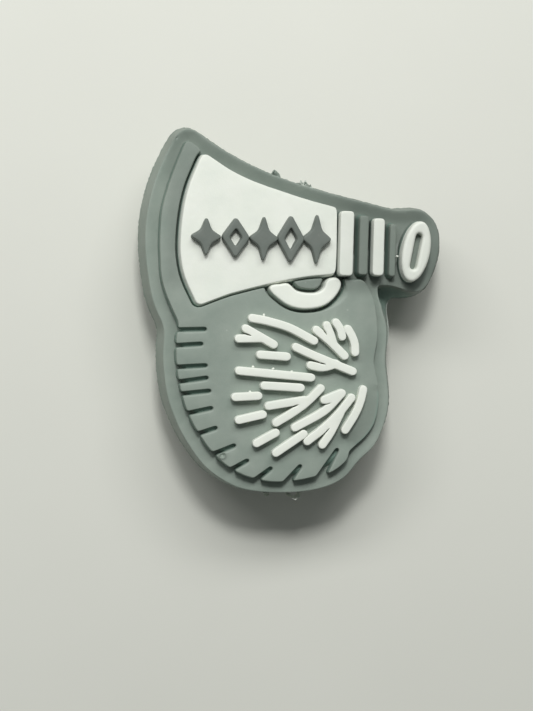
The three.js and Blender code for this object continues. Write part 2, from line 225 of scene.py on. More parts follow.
# How much of the room in front, and of the material behind, a leaning or rounded wall may take.
ROOM_AHEAD = 0.22
ROOM_BEHIND = 0.3

SHARP = radians(42)                  # edges that turn by more are shaded as edges


# ---- outlines --------------------------------------------------------------------------

def area(loop):
    """Positive for an outline that runs anticlockwise, and negative for a hole."""
    x, y = loop[:, 0], loop[:, 1]
    return 0.5 * float(np.sum(x * np.roll(y, -1) - y * np.roll(x, -1)))


def level_loops(name, level):
    """The closed outlines of the flat faces that a CAD node has at a height, largest first.
    They keep the material on their left, so holes run the other way round."""
    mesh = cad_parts[name].data
    spots = [tuple(round(c / MM * MICRONS) for c in v.co) for v in mesh.vertices]
    edges = set()
    for face in mesh.polygons:
        corners = [spots[i] for i in face.vertices]
        if any(abs(c[2] - level * MICRONS) > LEVEL_SLACK for c in corners):
            continue
        for a, b in zip(corners, corners[1:] + corners[:1]):
            if (b, a) in edges:
                edges.remove((b, a))
            else:
                edges.add((a, b))
    follow = dict(sorted(edges))
    loops = []
    while follow:
        start, here = follow.popitem()
        loop = [start]
        while here != start:
            loop.append(here)
            here = follow.pop(here)
        loops.append(np.array(loop, float)[:, :2] / MICRONS)
    return sorted(loops, key=lambda l: -abs(area(l)))


def resampled(loop, step=STEP):
    """The same outline with evenly spaced points."""
    closed = np.vstack([loop, loop[:1]])
    run = np.concatenate([[0], np.cumsum(np.linalg.norm(np.diff(closed, axis=0), axis=1))])
    count = max(16, round(run[-1] / step))
    stations = np.linspace(0, run[-1], count, endpoint=False)
    return np.column_stack([np.interp(stations, run, closed[:, k]) for k in (0, 1)])


def relaxed(values, rounds, strength=0.5):
    """Values along a closed loop, each drawn towards the middle of its neighbours."""
    for _ in range(rounds):
        middle = (np.roll(values, 1, 0) + np.roll(values, -1, 0)) / 2
        values = values + strength * (middle - values)
    return values


def soft(loop, rounds=4):
    """The outline with its facets smoothed away and its corners slightly rounded."""
    return relaxed(resampled(loop), rounds)


def evened(values, rounds):
    """Takes the short waves out and leaves the long ones, and so the outline's size."""
    first = relaxed(values, rounds)
    return 2 * first - relaxed(first, rounds)


def away(loop):
    """Unit directions that point away from the material."""
    along = np.roll(loop, -1, 0) - np.roll(loop, 1, 0)
    side = np.column_stack([along[:, 1], -along[:, 0]])
    return side / np.linalg.norm(side, axis=1)[:, None]


def moved(loop, distance):
    """The outline moved away from the material, in small steps that keep it regular.
    The distance is one number, or one for each point."""
    distance = np.broadcast_to(distance, len(loop))
    steps = ceil(float(np.abs(distance).max()) / MOVE_STEP)
    for _ in range(steps):
        loop = loop + away(loop) * (distance / steps)[:, None]
        loop = relaxed(loop, 1, MOVE_RELAXED)
    return loop


def clearance(loop, sense=1, far=2.0, least=1e-4):
    """How wide the gap is in front of each point, or with sense -1 the material behind it:
    the width of the largest circle that rests on the outline there and holds no part of it."""
    out = away(loop) * sense
    apart = loop[None] - loop[:, None]
    ahead = np.einsum("ijk,ik->ij", apart, out)
    square = np.einsum("ijk,ijk->ij", apart, apart)
    width = np.where(ahead > least, square / np.maximum(ahead, least), far)
    return np.minimum(width.min(axis=1), far)


def cautious(values, spread=4):
    """Values along a closed loop, lowered to their smallest neighbour and smoothed."""
    lowest = np.min([np.roll(values, k) for k in range(-spread, spread + 1)], axis=0)
    return relaxed(lowest, spread)


def eased(share):
    """A share from 0 to 1 that starts and ends gently."""
    share = np.clip(share, 0, 1)
    return share * share * (3 - 2 * share)


def beside(points, spot, reach):
    """A share that is 1 at a spot and dies away over its reach."""
    return np.exp(-(np.linalg.norm(points - spot, axis=1) / reach) ** 2)


def quarter(steps):
    """A rounded edge from the wall to the top: how far in and how far down each step lies."""
    angles = [pi / 2 * i / steps for i in range(steps + 1)]
    return [(1 - cos(angle), 1 - sin(angle)) for angle in angles]


def nearest(points, loop):
    """For each point, which point of an outline is nearest and how far away it is."""
    tree = kdtree.KDTree(len(loop))
    for i, (x, y) in enumerate(loop):
        tree.insert((x, y, 0), i)
    tree.balance()
    found = [tree.find((x, y, 0)) for x, y in points]
    return np.array([f[1] for f in found], int), np.array([f[2] for f in found])


def distances(points, loop):
    return nearest(points, loop)[1]


def lattice(loops, spacing, closest, farthest=100.0):
    """Points of a triangular lattice at a range of distances from the outlines."""
    low = loops[0].min(0)
    high = loops[0].max(0)
    columns = np.arange(low[0], high[0], spacing)
    rows = np.arange(low[1], high[1], spacing * sin(pi / 3))
    points = np.vstack([np.column_stack([columns + spacing / 2 * (i % 2), np.full(len(columns), y)])
                        for i, y in enumerate(rows)])
    gap = distances(points, np.vstack(loops))
    return points[(gap > closest) & (gap <= farthest)]


def rosette(centre, radius, rings=6, spokes=18):
    """Points on circles round a centre, for a small round mark."""
    points = [centre]
    for ring in range(1, rings + 1):
        for spoke in range(spokes):
            angle = 2 * pi * (spoke + 0.5 * (ring % 2)) / spokes
            points.append(centre + radius * ring / rings * np.array((cos(angle), sin(angle))))
    return np.array(points)


# ---- meshes ----------------------------------------------------------------------------

def uneven(points, z, size, amount):
    """A gentle unevenness of moulded silicone, as a shift in the plane for each point."""
    shifts = []
    for (x, y), height in zip(points, np.broadcast_to(z, len(points))):
        spot = Vector((x, y, height)) / size
        shifts.append((noise.noise(spot) * amount, noise.noise(spot + ELSEWHERE) * amount))
    return np.array(shifts)


def swell(points, size, amount):
    """The same for a face, as a height for each point."""
    return np.array([noise.noise(Vector((x, y, SWELL_PLANE)) / size) * amount for x, y in points])


def new_object(name, verts, faces, material):
    mesh = bpy.data.meshes.new(name)
    mesh.from_pydata([Vector(v) * MM for v in verts], [], faces)
    mesh.validate()
    return shown(name, mesh, material)


def shaded(mesh):
    """Smooth, but for its sharp edges."""
    mesh.polygons.foreach_set("use_smooth", [True] * len(mesh.polygons))
    mesh.set_sharp_from_angle(angle=SHARP)


def linked(name, data):
    """Puts data in the scene as an object."""
    made = bpy.data.objects.new(name, data)
    bpy.context.scene.collection.objects.link(made)
    return made


def shown(name, mesh, material):
    shaded(mesh)
    mesh.materials.append(material)
    return linked(name, mesh)


def within(points, loops):
    """Which points lie inside the outlines and outside their holes."""
    x, y = points[:, 0], points[:, 1]
    found = np.zeros(len(points), bool)
    for loop in loops:
        for (ax, ay), (bx, by) in zip(loop, np.roll(loop, -1, 0)):
            if ay != by:
                found ^= ((ay > y) != (by > y)) & (x < (bx - ax) * (y - ay) / (by - ay) + ax)
    return found


def filled(loops, inside):
    """Triangles, facing up, over the ground between outlines and through points inside.
    Points are counted along the outlines first and then through the inside ones."""
    edges = []
    start = 0
    for loop in loops:
        count = len(loop)
        edges += [(start + i, start + (i + 1) % count) for i in range(count)]
        start += count
    flat = np.vstack([*loops, inside])
    _, _, corners, origins, _, _ = delaunay_2d_cdt([Vector(p) for p in flat], edges, [], 2, 1e-7)
    faces = []
    for a, b, c in corners:
        a, b, c = origins[a][0], origins[b][0], origins[c][0]
        turn = np.cross(flat[b] - flat[a], flat[c] - flat[a])
        faces.append((a, b, c) if turn > 0 else (a, c, b))
    if len(loops) > 1:
        solid = within(flat[np.array(faces)].mean(axis=1), loops)
        faces = [face for face, kept in zip(faces, solid) if kept]
    return faces


def carried(name, loops, profile, material, unevenness=UNEVEN, bend=None, inside=None,
            heights=None):
    """A closed piece whose outlines are carried up through (offset, height) pairs, each one
    number or one for every point. Its top runs through the inside points at their heights,
    and bend(points, z) gives a last shift in x, y and z."""
    counts = [len(loop) for loop in loops]
    splits = np.cumsum(counts)[:-1]
    levels = []
    for offset, z in profile:
        shares = np.split(np.broadcast_to(offset, sum(counts)), splits)
        flat = np.vstack([moved(loop, share) for loop, share in zip(loops, shares)])
        if unevenness:
            flat = flat + uneven(flat, z, UNEVEN_SIZE, unevenness)
        levels.append(np.column_stack([flat, np.broadcast_to(z, len(flat))]))
    per_level = sum(counts)
    faces = []
    for level in range(len(profile) - 1):
        start = level * per_level
        for count in counts:
            for i in range(count):
                a = start + i
                b = start + (i + 1) % count
                faces.append((a, b, b + per_level, a + per_level))
            start += count
    none = np.empty((0, 2))
    for a, b, c in filled(np.split(levels[0][:, :2], splits), none):
        faces.append((a, c, b))
    top = (len(profile) - 1) * per_level
    inside = none if inside is None else inside
    lid = filled(np.split(levels[-1][:, :2], splits), inside)
    used = sorted({i for face in lid for i in face if i >= per_level})
    place = {i: top + per_level + k for k, i in enumerate(used)}
    for face in lid:
        faces.append(tuple(place.get(i, top + i) for i in face))
    if used:
        kept = np.array(used) - per_level
        z = np.max(levels[-1][:, 2]) if heights is None else heights[kept]
        levels.append(np.column_stack([inside[kept], np.broadcast_to(z, len(kept))]))
    verts = np.vstack(levels)
    if bend:
        verts = verts + bend(verts[:, :2], verts[:, 2])
    return new_object(name, verts, faces, material)


def edge_profile(loops, base, top, lean, reach, drop, steps=5):
    """A wall from base to top that leans in by lean for each millimetre, with a rounded edge:
    reach is how far the rounding comes in over the top, and drop how far down the wall.
    Walls steepen in narrow gaps, and the rounding is less at tight corners."""
    ahead = np.concatenate([cautious(ROOM_AHEAD * clearance(loop)) for loop in loops])
    behind = np.concatenate([cautious(ROOM_BEHIND * clearance(loop, -1)) for loop in loops])
    lean = np.minimum(lean, ahead / (top - base))
    reach = np.minimum(reach, behind)
    pairs = [(lean * (top - base), base), (lean * (top - base) / 2, (top + base) / 2)]
    for inward, down in quarter(steps):
        pairs.append((lean * drop * down - reach * inward, top - drop * down))
    return pairs


# ---- materials -------------------------------------------------------------------------

# Texture scales, in waves to the metre, and the heights of the bumps, in millimetres.
CLOUD_SCALE = 380.0
DUST_SCALE = 1100.0
HAZE_SCALE = 900.0
GRAIN_SCALE = 7000.0
WAVE_SCALE = 520.0
GRAIN_HEIGHT = 0.02
WAVE_HEIGHT = 0.12

DUST_SPECK = (0.05, 0.11)            # a speck fades out between these shares of its cell
DUST_RARITY = 0.86                   # the share of cells without one
DUST_STRENGTH = 0.3
GLOSS_SPREAD = (-0.07, 0.09)         # how far roughness goes to either side of its value
SUBSURFACE_DEPTH = 0.5
SUBSURFACE_COLOUR = (0.6, 0.6, 0.55)

# Where painted shade darkens the colour, in millimetres: up from the pom-pom, right from the bell's
# rim, and right towards the throat.
SHADE_UPPER = (1.0, 2.6)
SHADE_INNER = (-11.3, -10.0)
SHADE_THROAT = (0.5, 5.0)

# Painted shade: the grey's tint in grooves, the heights that they lie between, and its reach round
# the notch.
RECESS_SHADE = (0.82, 1.0, 0.97)
RECESS_FOOT = (BORDER_Z + 0.05, BORDER_Z + 0.15)
RECESS_TOP = (RELIEF_Z - 0.42, RELIEF_Z - 0.3)
RECESS_NOTCH = (1.2, 2.2)


def node(tree, kind, place, **values):
    """A shader node with its settings, and constants on its sockets."""
    made = tree.nodes.new(kind)
    made.location = place
    for key, value in values.items():
        if hasattr(made, key):
            setattr(made, key, value)
        else:
            made.inputs[key].default_value = value
    return made


def mapped(tree, source, before, after, place, kind="LINEAR"):
    """Takes a source from one range of values to another."""
    made = node(tree, "ShaderNodeMapRange", place, interpolation_type=kind)
    for key, value in zip(("From Min", "From Max", "To Min", "To Max"), (*before, *after)):
        made.inputs[key].default_value = value
    tree.links.new(source, made.inputs["Value"])
    return made.outputs["Result"]


def ramp(tree, source, span, low, high, place):
    """A smooth change from low to high over a span, in millimetres, of a source."""
    return mapped(tree, source, (span[0] * MM, span[1] * MM), (low, high), place, "SMOOTHSTEP")


def calculated(tree, operation, first, second, place):
    """One step of arithmetic on a socket and on another one or a number."""
    made = node(tree, "ShaderNodeMath", place, operation=operation)
    tree.links.new(first, made.inputs[0])
    if isinstance(second, float):
        made.inputs[1].default_value = second
    else:
        tree.links.new(second, made.inputs[1])
    return made.outputs[0]


def texture(tree, kind, where, place, **values):
    """A texture laid out by position on the bead."""
    made = node(tree, kind, place, **values)
    tree.links.new(where, made.inputs["Vector"])
    return made.outputs


def painted_shade_tone(tree, where, bell, throat):
    """Painted shade: the colour is darkened over the megaphone, by one share from the bell on and
    by another towards the throat, for the dimmer light there. Gives the factor for the colour."""
    axes = node(tree, "ShaderNodeSeparateXYZ", (-1300, 700))
    tree.links.new(where, axes.inputs[0])
    upper = ramp(tree, axes.outputs["Y"], SHADE_UPPER, 0.0, 1.0, (-1100, 800))
    inner = ramp(tree, axes.outputs["X"], SHADE_INNER, 0.0, -bell, (-1100, 650))
    right = ramp(tree, axes.outputs["X"], SHADE_THROAT, 0.0, -throat, (-1100, 500))
    depth = calculated(tree, "ADD", inner, right, (-900, 600))
    shade = calculated(tree, "MULTIPLY", depth, upper, (-750, 700))
    return calculated(tree, "ADD", shade, 1.0, (-600, 700))


def painted_recess_shade(tree, where, colour):
    """Painted shade: grey silicone is tinted deeper and greener in the grooves and gaps of the
    relief, and in the notch under the mouthpiece, where light bounces between grey walls."""
    axes = node(tree, "ShaderNodeSeparateXYZ", (-1300, 1300))
    tree.links.new(where, axes.inputs[0])
    above = ramp(tree, axes.outputs["Z"], RECESS_FOOT, 0.0, 1.0, (-1100, 1400))
    below = ramp(tree, axes.outputs["Z"], RECESS_TOP, 1.0, 0.0, (-1100, 1250))
    groove = calculated(tree, "MULTIPLY", above, below, (-900, 1300))
    apart = node(tree, "ShaderNodeVectorMath", (-1100, 1050), operation="DISTANCE")
    tree.links.new(where, apart.inputs[0])
    apart.inputs[1].default_value = (NOTCH[0] * MM, NOTCH[1] * MM, PARTING_Z * MM)
    notch = ramp(tree, apart.outputs["Value"], RECESS_NOTCH, 1.0, 0.0, (-900, 1050))
    share = calculated(tree, "MAXIMUM", groove, notch, (-700, 1200))
    mix = node(tree, "ShaderNodeMix", (-400, 1000), data_type="RGBA", blend_type="MULTIPLY")
    mix.inputs["B"].default_value = (*RECESS_SHADE, 1)
    tree.links.new(share, mix.inputs["Factor"])
    tree.links.new(colour, mix.inputs["A"])
    return mix.outputs["Result"]


def clouded(tree, where, colour, dark, light):
    """Pigment that clouds from dark to light."""
    cloud = texture(tree, "ShaderNodeTexNoise", where, (-1000, 300), Scale=CLOUD_SCALE,
                    Detail=5.0, Roughness=0.6)
    tint = node(tree, "ShaderNodeValToRGB", (-700, 300))
    first, last = tint.color_ramp.elements
    first.position, first.color = 0.3, (*dark, 1)
    last.position, last.color = 0.72, (*light, 1)
    tint.color_ramp.elements.new(0.5).color = (*colour, 1)
    tree.links.new(cloud["Fac"], tint.inputs["Fac"])
    return tint.outputs["Color"]


def dusted(tree, where, pigment, dust):
    """A few small specks of dust on the pigment."""
    specks = texture(tree, "ShaderNodeTexVoronoi", where, (-1000, -50), Scale=DUST_SCALE,
                     Randomness=1.0)
    near = mapped(tree, specks["Distance"], DUST_SPECK, (1.0, 0.0), (-700, -50))
    parts = node(tree, "ShaderNodeSeparateColor", (-850, -300))
    tree.links.new(specks["Color"], parts.inputs["Color"])
    rare = calculated(tree, "GREATER_THAN", parts.outputs["Red"], DUST_RARITY, (-700, -300))
    both = calculated(tree, "MULTIPLY", near, rare, (-500, -150))
    amount = calculated(tree, "MULTIPLY", both, DUST_STRENGTH, (-320, -150))
    mix = node(tree, "ShaderNodeMix", (-100, 250), data_type="RGBA")
    mix.inputs["B"].default_value = (*dust, 1)
    tree.links.new(amount, mix.inputs["Factor"])
    tree.links.new(pigment, mix.inputs["A"])
    return mix.outputs["Result"]


def skin(tree, where):
    """The surface's normal, with a fine grain over broad waves."""
    grain = texture(tree, "ShaderNodeTexNoise", where, (-1000, -850), Scale=GRAIN_SCALE,
                    Detail=4.0, Roughness=0.65)
    waves = texture(tree, "ShaderNodeTexNoise", where, (-1000, -1100), Scale=WAVE_SCALE,
                    Detail=2.0)
    fine = node(tree, "ShaderNodeBump", (-100, -700), Strength=0.45, Distance=GRAIN_HEIGHT * MM)
    tree.links.new(grain["Fac"], fine.inputs["Height"])
    broad = node(tree, "ShaderNodeBump", (150, -700), Strength=0.35, Distance=WAVE_HEIGHT * MM)
    tree.links.new(waves["Fac"], broad.inputs["Height"])
    tree.links.new(fine.outputs["Normal"], broad.inputs["Normal"])
    return broad.outputs["Normal"]


def silicone(name, colour, dark, light, roughness, subsurface, dust, bell=0.0, throat=0.0,
             recess=False):
    """Moulded silicone: cloudy pigment, a faint skin texture, a few specks of dust, and painted
    shade where asked.
    """
    material = bpy.data.materials.new(name)
    material.use_nodes = True
    tree = material.node_tree
    tree.nodes.clear()
    link = tree.links.new
    out = node(tree, "ShaderNodeOutputMaterial", (900, 0))
    shader = node(tree, "ShaderNodeBsdfPrincipled", (600, 0), IOR=1.42)
    shader.inputs["Subsurface Weight"].default_value = subsurface
    shader.inputs["Subsurface Radius"].default_value = SUBSURFACE_COLOUR
    shader.inputs["Subsurface Scale"].default_value = SUBSURFACE_DEPTH * MM
    shader.inputs["Specular IOR Level"].default_value = 0.4
    link(shader.outputs[0], out.inputs[0])
    where = node(tree, "ShaderNodeTexCoord", (-1300, 0)).outputs["Object"]

    pigment = dusted(tree, where, clouded(tree, where, colour, dark, light), dust)
    # painted shade: a deeper, greener tint in grooves and in the notch
    if recess:
        pigment = painted_recess_shade(tree, where, pigment)
    # painted shade: darker over the megaphone and towards the throat
    tone = node(tree, "ShaderNodeVectorMath", (150, 300), operation="MULTIPLY")
    link(pigment, tone.inputs[0])
    link(painted_shade_tone(tree, where, bell, throat), tone.inputs[1])
    link(tone.outputs["Vector"], shader.inputs["Base Color"])

    haze = texture(tree, "ShaderNodeTexNoise", where, (-1000, -550), Scale=HAZE_SCALE, Detail=3.0)
    spread = [roughness + change for change in GLOSS_SPREAD]
    link(mapped(tree, haze["Fac"], (0.0, 1.0), spread, (-400, -450)), shader.inputs["Roughness"])
    link(skin(tree, where), shader.inputs["Normal"])
    return material


def srgb(r, g, b):
    """A colour given in 0-255 screen values, as linear light."""
    def linear(v):
        v /= 255
        return v / 12.92 if v <= 0.04045 else ((v + 0.055) / 1.055) ** 2.4
    return linear(r), linear(g), linear(b)


# its bell and throat shares, and its recess tint, are painted shade
GREY = silicone("grey_silicone", srgb(139, 150, 141), srgb(133, 145, 136), srgb(145, 155, 146),
                0.5, 0.05, srgb(190, 196, 188), bell=0.19, throat=0.13, recess=True)
DARK_GREY = silicone("dark_grey_silicone", srgb(106, 113, 107), srgb(100, 108, 102),
                     srgb(112, 118, 112), 0.5, 0.04, srgb(150, 155, 148))
# paler than the body's grey: painted light, for the light that thin flash catches and lets through
FLASH_PAINTED_LIGHT = silicone("thin_flash_painted_light", srgb(168, 176, 168), srgb(150, 160, 152), srgb(186, 192, 184),
                      0.4, 0.1, srgb(200, 204, 198))
# near white: painted light, so torn flash in the bead's shadow looks lit
PALE_FLASH_PAINTED_LIGHT = silicone("pale_flash_painted_light", srgb(216, 221, 212), srgb(196, 204, 196), srgb(228, 232, 224),
                      0.4, 0.15, srgb(205, 205, 196))
# its bell and throat shares are painted shade
WHITE = silicone("white_silicone", srgb(229, 233, 224), srgb(225, 230, 221), srgb(233, 236, 228),
                 0.45, 0.15, srgb(205, 205, 196), bell=0.035, throat=0.09)


# ---- pieces ----------------------------------------------------------------------------

def finish_piece(piece, slot, *replaced):
    """Hangs a piece on the root body and hides the CAD nodes it stands for. Its finish is not used.
    """
    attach(piece, "root")
    if replaced:
        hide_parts(*replaced)


def hole_cutter():
    mesh = bpy.data.meshes.new("cutter")
    build = bmesh.new()
    turn = Matrix.Rotation(pi / 2, 4, "X")
    spot = Matrix.Translation(Vector((HOLE_X, 0, PARTING_Z)) * MM)
    bmesh.ops.create_cone(build, cap_ends=True, segments=64, radius1=HOLE_RADIUS * MM,
                          radius2=HOLE_RADIUS * MM, depth=HOLE_LENGTH * MM, matrix=spot @ turn)
    build.to_mesh(mesh)
    build.free()
    return linked("cutter", mesh)


def bored(piece):
    """Cuts the thread hole through a half of the body."""
    cutter = hole_cutter()
    cut = piece.modifiers.new("bore", "BOOLEAN")
    cut.operation = "DIFFERENCE"
    cut.solver = "EXACT"
    cut.object = cutter
    bpy.context.view_layer.update()
    evaluated = piece.evaluated_get(bpy.context.evaluated_depsgraph_get())
    result = bpy.data.meshes.new_from_object(evaluated)
    piece.modifiers.clear()
    piece.data = result
    shaded(result)
    bpy.data.objects.remove(cutter)
    return piece


def body_edge():
    """The parting line: the border's outline, evened out, and moved out to where the flash is.
    The corner of the notch stays as it is."""
    border = level_loops("front_body", BORDER_Z)[0]
    sharp, even = soft(border, NOTCH_ROUNDS), evened(resampled(border), EDGE_ROUNDS)
    near = beside(sharp, NOTCH, NOTCH_SHARP)[:, None]
    return moved(sharp * near + even * (1 - near), EDGE_INSET)


def wall_lean(edge):
    """How far the ridge stands in from the parting line, by the way the wall looks."""
    look = away(edge)
    lean = LEAN_SIDE * look[:, 0] ** 2 + LEAN_END * look[:, 1] ** 2
    lean += LEAN_RIGHTWARD * look[:, 0] + LEAN_UPWARD * look[:, 1]
    return relaxed(lean, LEAN_ROUNDS)


def notch_ledge(edge):
    """How far the whole wall stands back round the notch."""
    return NOTCH_LEAN * beside(edge, NOTCH, NOTCH_REACH)


def above_ledge(z):
    """How much of the notch's ledge has turned into wall at a height."""
    return eased((z - PARTING_Z - LEDGE_START) / LEDGE_RISE)


def body_bend(points, z):
    """Draws the wall into the notch's sharp corner and lets the mouthpiece sag."""
    share = np.clip((z - PARTING_Z) / (BORDER_Z - PARTING_Z), 0, 1)
    gap = np.linalg.norm(points - NOTCH_RIDGE, axis=1)
    pull = np.clip(1 - gap / CORNER_REACH, 0, 1) * above_ledge(z)
    sag = SAG * eased((points[:, 0] - SAG_START) / (SAG_END - SAG_START))
    sag *= eased((points[:, 1] - SAG_FLOOR) / SAG_FLOOR_REACH) * share
    shift = (NOTCH_CORNER - NOTCH_RIDGE) * pull[:, None]
    return np.column_stack([shift, swell(points, *BODY_SWELL) * share - sag])


def gutter(ridge):
    """The border inside its ridge, as points and their heights."""
    beyond = GUTTER_WIDTH * 1.2
    inside = np.vstack([lattice([ridge], FINE, FINE * 0.6, beyond),
                        lattice([ridge], COARSE, beyond + 0.1),
                        rosette(VOID, VOID_RADIUS * 2)])
    index, gap = nearest(inside, ridge)
    upward = away(ridge)[index, 1]
    depth = GUTTER_DEPTH + GUTTER_TOP * np.clip(upward, 0, 1) + GUTTER_FOOT * np.clip(upward, -1, 0)
    across = GUTTER_START + (1 - GUTTER_START) * gap / GUTTER_WIDTH
    heights = BORDER_Z - depth * (eased(across) - eased(GUTTER_START))
    return inside, heights - VOID_DEPTH * beside(inside, VOID, VOID_RADIUS)


def front_body(edge):
    """The front half: a leaning wall, a crisp ridge, and a shallow gutter behind it."""
    lean = wall_lean(edge)
    ledge = notch_ledge(edge)
    ragged = FLASH * (FLASH_LEAST + FLASH_RAGGED * swell(edge, FLASH_GRIT, 1.0))
    profile = [(0.0, PARTING_Z), (ragged, PARTING_Z + FLASH_LOW), (ragged, PARTING_Z + FLASH_HIGH)]
    for share in WALL_SHARES:
        z = PARTING_Z + share * (BORDER_Z - PARTING_Z)
        profile.append((-lean * share - ledge * float(above_ledge(z)), z))
    for inward, down in quarter(4):
        profile.append((-lean - ledge - RIDGE_ROUND * inward, BORDER_Z - RIDGE_ROUND * down))
    inside, heights = gutter(moved(edge, profile[-1][0]))
    piece = carried("front_half", [edge], profile, GREY, bend=body_bend, inside=inside,
                    heights=heights)
    finish_piece(bored(piece), "grey_silicone", "front_body")


def back_body(edge):
    """The back half: a leaning wall and a rounded edge to a flat back."""
    profile = [(-BACK_INSET - BACK_ROUND * down, BACK_ROUND * inward)
               for inward, down in quarter(6)]
    profile += [(offset, PARTING_Z + height) for offset, height in BACK_WALL]
    piece = carried("back_half", [edge], profile, GREY)
    finish_piece(bored(piece), "grey_silicone", "back_body")


def relief_bend(outline):
    """Slopes the relief's lower right margin down and marks it with a burst bubble."""
    def bend(points, z):
        share = np.clip((z - PAD_ROOT_Z) / (RELIEF_Z - PAD_ROOT_Z), 0, 1)
        gap = np.linalg.norm(points - MARGIN_CENTRE, axis=1)
        low = eased((MARGIN_REACH - gap) / MARGIN_FADE)
        side = eased((points[:, 0] - MARGIN_SIDE) / MARGIN_SIDE_FADE)
        near = np.maximum(low, MARGIN_SIDE_SHARE * side)
        fall = MARGIN_FALL * eased(1 - distances(points, outline) / MARGIN_WIDTH) * near
        ring = np.linalg.norm(points - BUBBLE, axis=1) / BUBBLE_RADIUS
        rim = BUBBLE_RIM * np.exp(-((ring - 1) / BUBBLE_RIM_WIDTH) ** 2)
        pit = BUBBLE_PIT * np.exp(-(ring / BUBBLE_PIT_WIDTH) ** 2)
        rise = swell(points, *RELIEF_SWELL) + (rim - pit) - fall
        return np.column_stack([np.zeros((len(points), 2)), rise * share])
    return bend


def pom_pom(pad):
    """The grey relief. Its walls steepen in narrow furrows, and a furrow's lower right wall and
    the handle's groove have wider roundings."""
    facing = np.clip(away(pad) @ FURROW_SOFT_SIDE, 0, 1)
    wide = FURROW_SOFTENED * relaxed(np.where(clearance(pad) < FURROW_GAP, facing, 0.0), 5)
    handle = beside(pad, HANDLE_SIDE, HANDLE_SIDE_REACH)
    further_in, further_down = HANDLE_SIDE_SOFTENED
    profile = edge_profile([pad], PAD_ROOT_Z, RELIEF_Z, lean=0.12,
                           reach=0.06 + wide + further_in * handle,
                           drop=0.06 + wide + further_down * handle)
    inside = np.vstack([lattice([pad], MEDIUM, COARSE), rosette(BUBBLE, BUBBLE_RADIUS * 2)])
    piece = carried("pom_pom_relief", [pad], profile, GREY, bend=relief_bend(pad), inside=inside)
    finish_piece(piece, "grey_silicone", "front_body")


def plain_piece(name, loop, top, lean):
    profile = edge_profile([loop], ROOT_Z, top, lean, reach=0.1, drop=0.09)
    piece = carried(name, [loop], profile, GREY)
    finish_piece(piece, "grey_silicone", "front_body")


def furrow_floor(pad):
    """The ground of the furrows, which is higher than the border; it ends short of their mouths."""
    low = pad[pad[:, 1] < FURROWS_TOP]
    hull = low[list(dict.fromkeys(convex_hull_2d([tuple(p) for p in low])))]
    if area(hull) < 0:
        hull = hull[::-1]
    loop = relaxed(resampled(hull, FURROW_STEP), FURROW_ROUNDS)
    loop = loop - FURROW_MOUTH * away(loop)
    profile = [(0.5, ROOT_Z), (0.45, BORDER_Z - 0.1), (0.0, FURROW_Z - 0.02), (-0.1, FURROW_Z)]
    piece = carried("furrow_floor", [loop], profile, GREY)
    finish_piece(piece, "grey_silicone", "front_body")


def relief():
    """The grey relief, the two grey bands and the island in the handle."""
    pad, band_1, band_2, island = level_loops("front_body", RELIEF_Z)
    pad = soft(pad, 3)
    pom_pom(pad)
    furrow_floor(pad)
    for name, band in (("grey_band_1", soft(band_1, 3)), ("grey_band_2", soft(band_2, 3))):
        plain_piece(name, band, RELIEF_Z, BAND_LEAN + BAND_TILT * away(band)[:, 0])
    plain_piece("handle_island", widened(soft(island, 6)), ISLAND_Z, 0.12)


def widened(loop):
    """Widens the opening in the handle at its right end."""
    near = beside(loop, HANDLE_INSIDE, HANDLE_INSIDE_REACH)
    return loop + np.outer(near, (HANDLE_WIDENED, 0))


def forked(loop):
    """Runs the gap between two branches of a streak a little deeper, to a sharp end."""
    before, after = loop - np.roll(loop, 3, 0), np.roll(loop, -3, 0) - loop
    cross = before[:, 0] * after[:, 1] - before[:, 1] * after[:, 0]
    turn = np.arctan2(cross, (before * after).sum(axis=1))
    made = loop.copy()
    for i in range(len(loop)):
        beside = turn[np.arange(i - 4, i + 5) % len(loop)]
        if turn[i] < -FORK_TURN and turn[i] <= beside.min():
            sides = loop[i] - loop[[(i - 10) % len(loop), (i + 10) % len(loop)]]
            inward = (sides / np.linalg.norm(sides, axis=1)[:, None]).sum(axis=0)
            inward /= np.linalg.norm(inward)
            for k in range(-2, 3):
                j = (i + k) % len(loop)
                aside = loop[j] - loop[i] - inward * ((loop[j] - loop[i]) @ inward)
                aside *= FORK_WIDTH / max(float(np.linalg.norm(aside)), FORK_WIDTH)
                made[j] = loop[j] + inward * FORK_DEPTH * (1 - abs(k) / 3) + aside
    return made


def inlay(name, slot, material, base, lean, reach, drop, rounds=3, foot=None, tilt=None):
    """A raised inlay. With a foot level, what lies below it is grey, as the body's silicone
    rose into the mould round the white. With a tilt, walls lean and round by where they look."""
    top = high_z(name)
    loops = [soft(loop, rounds) for loop in level_loops(name, top)]
    if name in STREAKS:
        loops = [forked(loop) for loop in loops]
    elif name == "handle_ring":
        loops = [widened(loop) for loop in loops]
    if tilt:
        leans = np.concatenate([away(loop) for loop in loops]) @ np.array(tilt) + lean
        share = np.clip(leans / leans.max(), TILT_LEAST, 1)
        lean, reach, drop = leans, reach * share, drop * share
    profile = edge_profile(loops, base, top, lean, reach, drop)
    if foot:
        low, high = profile[0][0], profile[0][0] * (top - foot) / (top - base)
        below = [(low, base), (high + FOOT_PROUD, foot)]
        finish_piece(carried(name + "_foot", loops, below, GREY, 0.0), "grey_silicone")
        profile = [(high, foot - FOOT_OVERLAP)] + profile[2:]
        base = foot

    def bend(points, z):
        rise = swell(points, *INLAY_SWELL) * np.clip((z - base) / (top - base), 0, 1)
        return np.column_stack([np.zeros((len(points), 2)), rise])
    inside = lattice(loops, MEDIUM, 0.3)
    piece = carried(name + "_inlay", loops, profile, material, bend=bend, inside=inside)
    finish_piece(piece, slot, name)


def slot_floor():
    """The grey ground at the bottom of the mouth ring's slot."""
    slot = min(level_loops("mouth_ring", high_z("mouth_ring")), key=area)
    loop = moved(soft(slot, 3), -SLOT_TUCK)[::-1]
    piece = carried("slot_floor", [loop], [(0.0, ROOT_Z), (0.0, SLOT_Z)], GREY)
    finish_piece(piece, "grey_silicone", "front_body")


